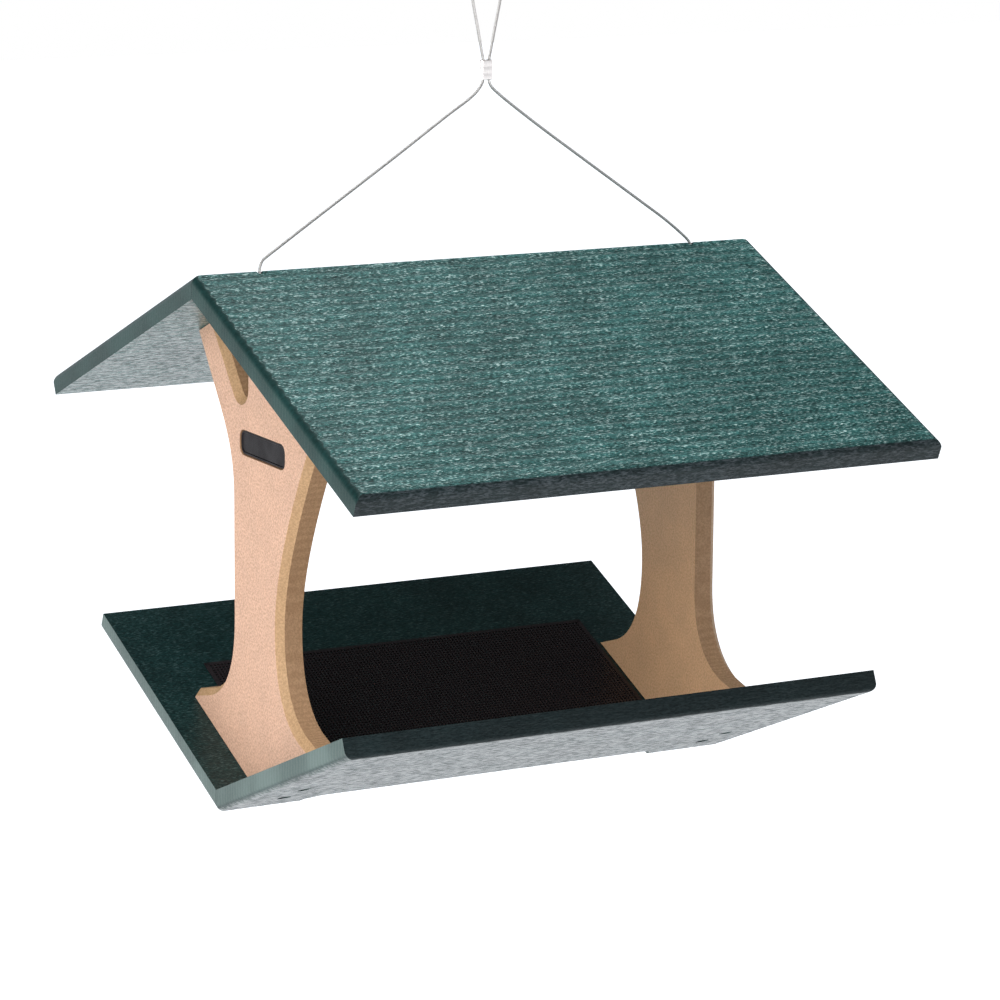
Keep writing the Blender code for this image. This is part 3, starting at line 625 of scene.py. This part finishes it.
def seed_screen(finish):
    """The black screen, bent to the tray's valley: a net of bars with a plain border."""
    lean = TRAY["pitch"]
    lift = GAP / math.cos(lean)
    skin = SCREEN_THICKNESS
    half = SCREEN_LENGTH / 2
    bm = bmesh.new()
    columns = round((SCREEN_LENGTH - 2 * SCREEN_BORDER) / SCREEN_PITCH)
    rows = round((SCREEN_WING - SCREEN_BORDER) / SCREEN_PITCH)
    across = (SCREEN_LENGTH - 2 * SCREEN_BORDER) / columns
    down = (SCREEN_WING - SCREEN_BORDER) / rows
    for side in (-1, 1):
        wing = bmesh.new()
        for i in range(1, columns):
            bar(wing, (SCREEN_WIRE, SCREEN_WING, skin * SCREEN_COLUMN_SHARE),
                (-half + SCREEN_BORDER + i * across, SCREEN_WING / 2, skin / 2))
        for i in range(rows):
            bar(wing, (SCREEN_LENGTH - SCREEN_BORDER, SCREEN_WIRE, skin * SCREEN_ROW_SHARE),
                (0, i * down + SCREEN_WIRE / 2 * (i == 0), skin / 2))
        for x in (-half + SCREEN_BORDER / 2, half - SCREEN_BORDER / 2):
            bar(wing, (SCREEN_BORDER, SCREEN_WING, skin), (x, SCREEN_WING / 2, skin / 2))
        bar(wing, (SCREEN_LENGTH, SCREEN_BORDER, skin),
            (0, SCREEN_WING - SCREEN_BORDER / 2, skin / 2))
        turn = Matrix.Rotation(lean, 4, "X")
        if side < 0:
            turn = Matrix.Rotation(math.pi, 4, "Z") @ turn
        bmesh.ops.transform(wing, matrix=HANG @ Matrix.Translation((0, 0, lift)) @ turn,
                            verts=wing.verts)
        mesh = bpy.data.meshes.new("wing")
        wing.to_mesh(mesh)
        wing.free()
        bm.from_mesh(mesh)
    return finished(bm, "seed_screen_mesh", finish, "seed_screen", body="screen", smooth=30)


# Screws

def screw_outline(clearance):
    """Half outline of a countersunk screw below its head's rim."""
    shank, head = SCREW_SHANK + clearance, SCREW_HEAD + clearance
    return [(head, -SCREW_RIM), (shank, -SCREW_HEAD_HEIGHT), (shank, SCREW_TIP - SCREW_LENGTH),
            (0.0, -SCREW_LENGTH - clearance)]


def screw_spots():
    """Node, board and place on that board of every screw."""
    middle = SUPPORT_OUTER - SUPPORT_THICKNESS / 2
    roof = [(middle, 0.044), (middle, 0.092), (-middle, 0.066)]
    tray = [(middle, 0.030), (middle, 0.0605), (-middle, 0.030), (-middle, 0.0605)]
    for side in ("back", "front"):
        for kind, panel, spots in (("roof", "roof_panel_", roof), ("base", "base_panel_", tray)):
            for number, (x, distance) in enumerate(spots, start=1):
                sink = SCREW_SINK if kind == "base" else SCREW_FLUSH
                yield (f"{kind}_screw_{side}_{number}", panel + side,
                       Matrix.Translation((x, distance, -sink)))


def screw(name, place, finish, slot, recess_size, recess_depth):
    """A countersunk screw with a square recess."""
    bm = turned([(0.0, 0.0), (SCREW_HEAD - SCREW_EDGE, 0.0), (SCREW_HEAD, -SCREW_EDGE)]
                + screw_outline(0.0))
    recess = block((recess_size, recess_size, 2 * recess_depth))
    for shape in (bm, recess):
        bmesh.ops.transform(shape, matrix=place, verts=shape.verts)
    piece = finished(bm, name + "_head", finish, name)
    return carved(piece, [finished(recess, "recess", None)])


def screw_hole(place):
    """The countersunk hole round a screw."""
    bm = turned([(0.0, SCREW_HOLE_TOP), (SCREW_HEAD + SCREW_CLEARANCE, SCREW_HOLE_TOP)]
                + screw_outline(SCREW_CLEARANCE))
    bmesh.ops.transform(bm, matrix=place, verts=bm.verts)
    return finished(bm, "screw_hole", None)


# Cable

def cable_route():
    """Route of the cable in the plane y = 0, from stop to stop: (x, height)."""
    left, right = -CABLE_SPAN / 2, CABLE_SPAN / 2
    up, down = FERRULE_X - STRAND_OFFSET, FERRULE_X + STRAND_OFFSET
    foot = STOP_TOP - STOP_LENGTH - CABLE_TAIL
    low, high, crown = FERRULE_BOTTOM, FERRULE_TOP, LOOP_CROWN
    top = RIDGE_TOP
    return [
        (left, foot), (left, STOP_TOP), (left, top - 0.003), (left + 0.0004, top + 0.0030),
        (left + 0.0020, top + 0.0062), (left + 0.0048, top + 0.0084),
        (left + 0.0100, top + 0.0118), (-0.120, top + 0.0229), (-0.095, top + 0.0391),
        (-0.060, top + 0.0617), (-0.025, top + 0.0849), (-0.0056, low - 0.0087),
        (-0.0010, low - 0.0036), (up, low - 0.0008), (up, low + 0.0020), (up, high - 0.0020),
        (up, high + 0.0008), (up - 0.0008, high + 0.0046), (up - 0.0036, high + 0.0183),
        (up - 0.0074, high + 0.0370), (up - 0.0092, high + 0.0525), (up - 0.0072, crown - 0.0065),
        (0.0, crown), (down + 0.0046, crown - 0.0065), (down + 0.0092, high + 0.0525),
        (down + 0.0074, high + 0.0370), (down + 0.0036, high + 0.0183),
        (down + 0.0008, high + 0.0046), (down, high + 0.0008), (down, high - 0.0020),
        (down, low + 0.0020), (down, low - 0.0008), (0.0061, low - 0.0042), (0.0110, low - 0.0087),
        (0.0342, low - 0.0259), (0.0716, top + 0.0545), (0.1102, top + 0.0280),
        (right - 0.0175, top + 0.0146), (right - 0.0062, top + 0.0056),
        (right - 0.0026, top + 0.0024), (right - 0.0003, top - 0.0006), (right, top - 0.0045),
        (right, STOP_TOP), (right, foot),
    ]


def smooth_line(route, spacing):
    """Evenly spaced points along a smooth curve through the route."""
    knots = [Vector((x, 0, z)) for x, z in route]
    knots = [2 * knots[0] - knots[1]] + knots + [2 * knots[-1] - knots[-2]]
    found = [knots[1]]
    for p0, p1, p2, p3 in zip(knots, knots[1:], knots[2:], knots[3:]):
        times = [0.0]
        for a, b in ((p0, p1), (p1, p2), (p2, p3)):
            times.append(times[-1] + math.sqrt((b - a).length))
        count = max(1, round((p2 - p1).length / spacing))
        for i in range(1, count + 1):
            t = times[1] + (times[2] - times[1]) * i / count
            points = (p0, p1, p2, p3)
            for reach in (1, 2):
                points = [points[k].lerp(points[k + 1],
                                         (t - times[k]) / (times[k + reach] - times[k]))
                          for k in range(len(points) - 1)]
            found.append(points[0].lerp(points[1], (t - times[1]) / (times[2] - times[1])))
    return found


def strand_profile():
    """Section of the strands, laid round a core."""
    curve = bpy.data.curves.new("strands", "CURVE")
    curve.dimensions = "2D"
    spline = curve.splines.new("POLY")
    spline.points.add(STRANDS * STRAND_STEPS - 1)
    spline.use_cyclic_u = True
    lay, strand = CABLE_RADIUS * 2 / 3, CABLE_RADIUS / 3
    for i, slot in enumerate(spline.points):
        turn = i * math.tau / (STRANDS * STRAND_STEPS)
        off = (turn + math.pi / STRANDS) % (math.tau / STRANDS) - math.pi / STRANDS
        reach = lay * math.cos(off) + math.sqrt(max(strand ** 2 - (lay * math.sin(off)) ** 2, 0))
        slot.co = (reach * math.cos(turn), reach * math.sin(turn), 0, 1)
    drawing = bpy.data.objects.new("strands", curve)
    bpy.context.scene.collection.objects.link(drawing)
    return drawing


def hanging_cable(finish):
    """The laid steel cable, one twisted tube from stop to stop."""
    line = smooth_line(cable_route(), 0.0008)
    profile = strand_profile()
    curve = bpy.data.curves.new("cable_line", "CURVE")
    curve.dimensions = "3D"
    curve.bevel_mode = "OBJECT"
    curve.bevel_object = profile
    curve.use_fill_caps = True
    spline = curve.splines.new("POLY")
    spline.points.add(len(line) - 1)
    gone = 0.0
    for i, (slot, point) in enumerate(zip(spline.points, line)):
        gone += (point - line[i - 1]).length if i else 0.0
        slot.co = (*(HANG @ point), 1.0)
        slot.tilt = gone * math.tau / CABLE_LAY
    drawing = bpy.data.objects.new("cable_line", curve)
    bpy.context.scene.collection.objects.link(drawing)
    bm = bmesh.new()
    bm.from_mesh(bpy.data.meshes.new_from_object(
        drawing.evaluated_get(bpy.context.evaluated_depsgraph_get())))
    for spare in (drawing, profile):
        bpy.data.objects.remove(spare, do_unlink=True)
    piece = finished(bm, "hanging_cable_laid", finish, "hanging_cable", smooth=60)
    return piece, [HANG @ point for point in line], gone


def ferrule(finish):
    """The crimped oval sleeve that joins the cable's two strands."""
    bm = block((FERRULE_WIDTH, FERRULE_THICKNESS, FERRULE_LENGTH),
               (0, 0, FERRULE_LENGTH / 2), FERRULE_THICKNESS / 2 - HAIR, segments=12)
    rim = rims(bm, 2, 0.0) + rims(bm, 2, FERRULE_LENGTH)
    bmesh.ops.bevel(bm, geom=rim, offset=CRIMP_EDGE, segments=3, profile=0.5, affect="EDGES",
                    material=-1)
    for low, high in CRIMP_GROOVES:
        for share in (low, low + CRIMP_SLOPE, high - CRIMP_SLOPE, high):
            bmesh.ops.bisect_plane(bm, geom=[*bm.verts, *bm.edges, *bm.faces],
                                   plane_co=(0, 0, share * FERRULE_LENGTH), plane_no=(0, 0, 1),
                                   dist=1e-8)
    for vert in bm.verts:
        share = vert.co.z / FERRULE_LENGTH
        if any(low + CRIMP_SLOPE / 2 < share < high - CRIMP_SLOPE / 2
               for low, high in CRIMP_GROOVES):
            vert.co.y *= CRIMP_SQUEEZE
    place = HANG @ Matrix.Translation((FERRULE_X, 0, FERRULE_BOTTOM))
    bmesh.ops.transform(bm, matrix=place, verts=bm.verts)
    bore = block((2 * (STRAND_OFFSET + CABLE_RADIUS + GAP), FERRULE_THICKNESS - 2 * FERRULE_WALL,
                  2 * FERRULE_LENGTH), (0, 0, FERRULE_LENGTH / 2),
                 FERRULE_THICKNESS / 2 - FERRULE_WALL - HAIR, segments=10)
    bmesh.ops.transform(bore, matrix=place, verts=bore.verts)
    piece = finished(bm, "cable_ferrule_crimped", finish, "cable_ferrule")
    return carved(piece, [finished(bore, "bore", None)])


def cable_stop(side, finish):
    """A crimped stop under the ridge."""
    bore, squeezed = CABLE_RADIUS + GAP, STOP_RADIUS * CRIMP_SQUEEZE
    waist = [(radius, -share * STOP_LENGTH) for radius, share in (
        (STOP_RADIUS, 0.30), (squeezed, 0.36), (squeezed, 0.64), (STOP_RADIUS, 0.70))]
    bm = turned([(bore, 0.0), (STOP_RADIUS - CRIMP_EDGE, 0.0), (STOP_RADIUS, -CRIMP_EDGE), *waist,
                 (STOP_RADIUS, CRIMP_EDGE - STOP_LENGTH),
                 (STOP_RADIUS - CRIMP_EDGE, -STOP_LENGTH), (bore, -STOP_LENGTH)])
    x = CABLE_SPAN / 2 * (1 if side == "right" else -1)
    bmesh.ops.translate(bm, vec=HANG @ Vector((x, 0, STOP_TOP)), verts=bm.verts)
    return finished(bm, f"cable_stop_{side}_crimped", finish, "cable_stop_" + side)


# Camera, lights and floor

LENS, ROLL = 143.67, math.radians(0.471)
EYE, AIM = Vector((-1.12645, -2.10224, 0.14372)), Vector((0.02038, 0.01116, -0.34534))
AMBIENT, CEILING = 0.45, 0.05
FLOOR_GLOW, FLOOR_SEEN = 0.85, 0.10
FLOOR_HEIGHT, FLOOR_HALF = -0.95, 9


def set_camera():
    """The photograph's view."""
    lens = bpy.data.cameras.new("camera")
    lens.sensor_width = 36
    lens.lens = LENS
    lens.clip_end = 100
    turn = (AIM - EYE).to_track_quat("-Z", "Y").to_matrix().to_4x4()
    camera = bpy.data.objects.new("camera", lens)
    camera.matrix_world = Matrix.Translation(EYE) @ turn @ Matrix.Rotation(ROLL, 4, "Z")
    bpy.context.scene.collection.objects.link(camera)
    bpy.context.scene.camera = camera


def soft_light(name, place, size, power, aim=(0, 0, -0.3)):
    """A square soft light, aimed at the feeder."""
    lamp = bpy.data.lights.new(name, "AREA")
    lamp.shape = "SQUARE"
    lamp.size = size
    lamp.energy = power
    made = bpy.data.objects.new(name, lamp)
    made.location = place
    made.rotation_euler = (Vector(aim) - Vector(place)).to_track_quat("-Z", "Y").to_euler()
    bpy.context.scene.collection.objects.link(made)


def seen_directly(tree):
    """1 where a camera, gloss or glass ray meets a surface, and 0 for the light that it gives."""
    path = node(tree, "LightPath")
    first = sums(tree, "MAXIMUM", path.outputs["Is Camera Ray"], path.outputs["Is Glossy Ray"])
    return sums(tree, "MAXIMUM", first, path.outputs["Is Transmission Ray"])


def set_studio():
    """White walls and floor, a dim ceiling, and soft lamps at the left, above and behind."""
    scene = bpy.context.scene
    scene.view_settings.view_transform = "Standard"
    world = bpy.data.worlds.new("studio")
    world.use_nodes = True
    scene.world = world
    tree = world.node_tree
    shader = tree.nodes["Background"]
    upward = node(tree, "SeparateXYZ", {0: node(tree, "TexCoord").outputs["Generated"]})
    wall = stepped(tree, upward.outputs["Z"], 0.12, 0.50, 1.0, CEILING)
    path = node(tree, "LightPath")
    mirrored = sums(tree, "MAXIMUM", path.outputs["Is Glossy Ray"],
                    path.outputs["Is Transmission Ray"])
    given = sums(tree, "ADD", AMBIENT, sums(tree, "MULTIPLY", mirrored,
                                            sums(tree, "SUBTRACT", wall, AMBIENT)))
    strength = sums(tree, "MAXIMUM", given, path.outputs["Is Camera Ray"])
    tree.links.new(strength, shader.inputs["Strength"])
    tree.links.new(blended(tree, mirrored, (1.0, 1.0, 1.0), (0.92, 0.95, 1.0)),
                   shader.inputs["Color"])

    floor_material, tree, shader = new_material("pale_floor", Roughness=0.9)
    where = node(tree, "TexCoord").outputs["Object"]
    mottle = node(tree, "TexNoise", {"Vector": where, "Scale": 3.0, "Detail": 3.0})
    colour = blended(tree, mottle.outputs[0], (0.78, 0.78, 0.78), (0.82, 0.82, 0.82))
    joined(tree, shader, Base_Color=colour)
    seen = sums(tree, "MULTIPLY", node(tree, "LightPath").outputs["Is Camera Ray"], FLOOR_SEEN)
    glow = node(tree, "Emission", {"Strength": sums(tree, "ADD", seen, FLOOR_GLOW),
                                   "Color": (0.90, 0.94, 1.0, 1.0)})
    both = node(tree, "AddShader", {0: shader.outputs[0], 1: glow.outputs[0]})
    mixed = node(tree, "MixShader", {0: seen_directly(tree), 1: shader.outputs[0],
                                     2: both.outputs[0]})
    tree.links.new(mixed.outputs[0], tree.nodes["Material Output"].inputs["Surface"])

    bm = bmesh.new()
    bmesh.ops.create_grid(bm, x_segments=2, y_segments=2, size=FLOOR_HALF)
    bmesh.ops.translate(bm, vec=(0, 0, FLOOR_HEIGHT), verts=bm.verts)
    mesh = bpy.data.meshes.new("floor")
    bm.to_mesh(mesh)
    bm.free()
    floor = bpy.data.objects.new("floor", mesh)
    mesh.materials.append(floor_material)
    scene.collection.objects.link(floor)

    soft_light("left", (-2.1, -0.8, 0.15), 1.5, 20)
    soft_light("near", (-0.75, -0.95, 0.10), 0.5, 4)
    soft_light("overhead", (-0.8, -0.4, 2.2), 1.4, 22)
    soft_light("behind", (0.15, 0.30, 0.66), 0.5, 2.6, aim=(-0.1, -0.1, -0.1))


# The feeder

set_camera()
set_studio()

grain, speckle, cuts = make_drawn_grain(), make_speckle(), make_cut_faces()
roof_green = green_board("roof_green_brushed", grain, cuts, (0.001, 0.018, 0.018),
                         (0.052, 0.185, 0.177), (0.44, 0.58, 0.57), (0.060, 0.075, 0.085),
                         ((0.003, 0.024, 0.023), (0.008, 0.040, 0.038)),
                         ((0.006, 0.032, 0.029), (0.020, 0.060, 0.054), (0.060, 0.110, 0.100)),
                         0.20)
# The tray's copy of the same green board: faces painted darker as shade under the roof, with
# dimmer flecks, and end faces and rims painted lighter as light falling on them.
tray_green_painted_shade_and_light = green_board("tray_green_shade_and_light_painted", grain, cuts, (0.001, 0.011, 0.011),
                         (0.012, 0.046, 0.046), (0.060, 0.105, 0.105), (0.018, 0.030, 0.032),
                         ((0.030, 0.060, 0.056), (0.060, 0.100, 0.094)),
                         ((0.070, 0.125, 0.114), (0.140, 0.195, 0.182), (0.260, 0.300, 0.300)),
                         0.0)
tan = tan_board("cedar_board", speckle, cuts)
label_black = coated("label_black_plastic", speckle, (0.006, 0.005, 0.006), (0.014, 0.011, 0.013),
                     (0.40, 0.55), IOR=1.40, Specular_IOR_Level=0.2)
screen_black = coated("screen_black_coating", speckle, (0.016, 0.011, 0.013),
                      (0.030, 0.023, 0.026), (0.38, 0.50), IOR=1.4, Specular_IOR_Level=0.4)
screw_steel = coated("screw_zinc", speckle, (0.42, 0.42, 0.41), (0.56, 0.56, 0.55), (0.28, 0.46),
                     Metallic=1.0)
rope_steel = coated("rope_bright_steel", speckle, (0.46, 0.445, 0.43), (0.68, 0.66, 0.64),
                    (0.30, 0.44), Metallic=1.0)
sleeve = coated("sleeve_aluminium", speckle, (0.82, 0.77, 0.74), (0.93, 0.88, 0.85), (0.3, 0.44),
                Metallic=1.0)

places = board_places()
cable, cable_line, cable_length = hanging_cable(rope_steel)
sleeve_piece = ferrule(sleeve)
stops = [cable_stop(side, screw_steel) for side in ("left", "right")]

for panel, size in (("roof_panel_back", ROOF), ("roof_panel_front", ROOF),
                    ("base_panel_back", TRAY), ("base_panel_front", TRAY)):
    holes = [screw_hole(places[panel] @ spot) for _, its_board, spot in screw_spots()
             if its_board == panel]
    holes += cable_holes() if size is ROOF else [drain_cutter()]
    board(panel, size, places[panel], roof_green if size is ROOF else tray_green_painted_shade_and_light, holes)

for name, its_board, spot in screw_spots():
    painted = name.startswith("roof")
    kind = ((roof_green, "painted_screw", PAINTED_RECESS, PAINTED_RECESS_DEPTH) if painted
            else (screw_steel, "screw_steel", SCREW_RECESS, SCREW_RECESS_DEPTH))
    screw(name, places[its_board] @ spot, *kind)

for side, turn in (("left", Matrix.Identity(4)), ("right", Matrix.Rotation(math.pi, 4, "Z"))):
    x_sign = -1 if side == "left" else 1
    holes = [screw_hole(places[its_board] @ spot) for _, its_board, spot in screw_spots()
             if (places[its_board] @ spot).translation.x * x_sign > 0]
    support("support_" + side, turn, tan, [label_pocket(turn), *holes])
    label_plate("label_plate_" + side, turn, label_black)

seed_screen(screen_black)
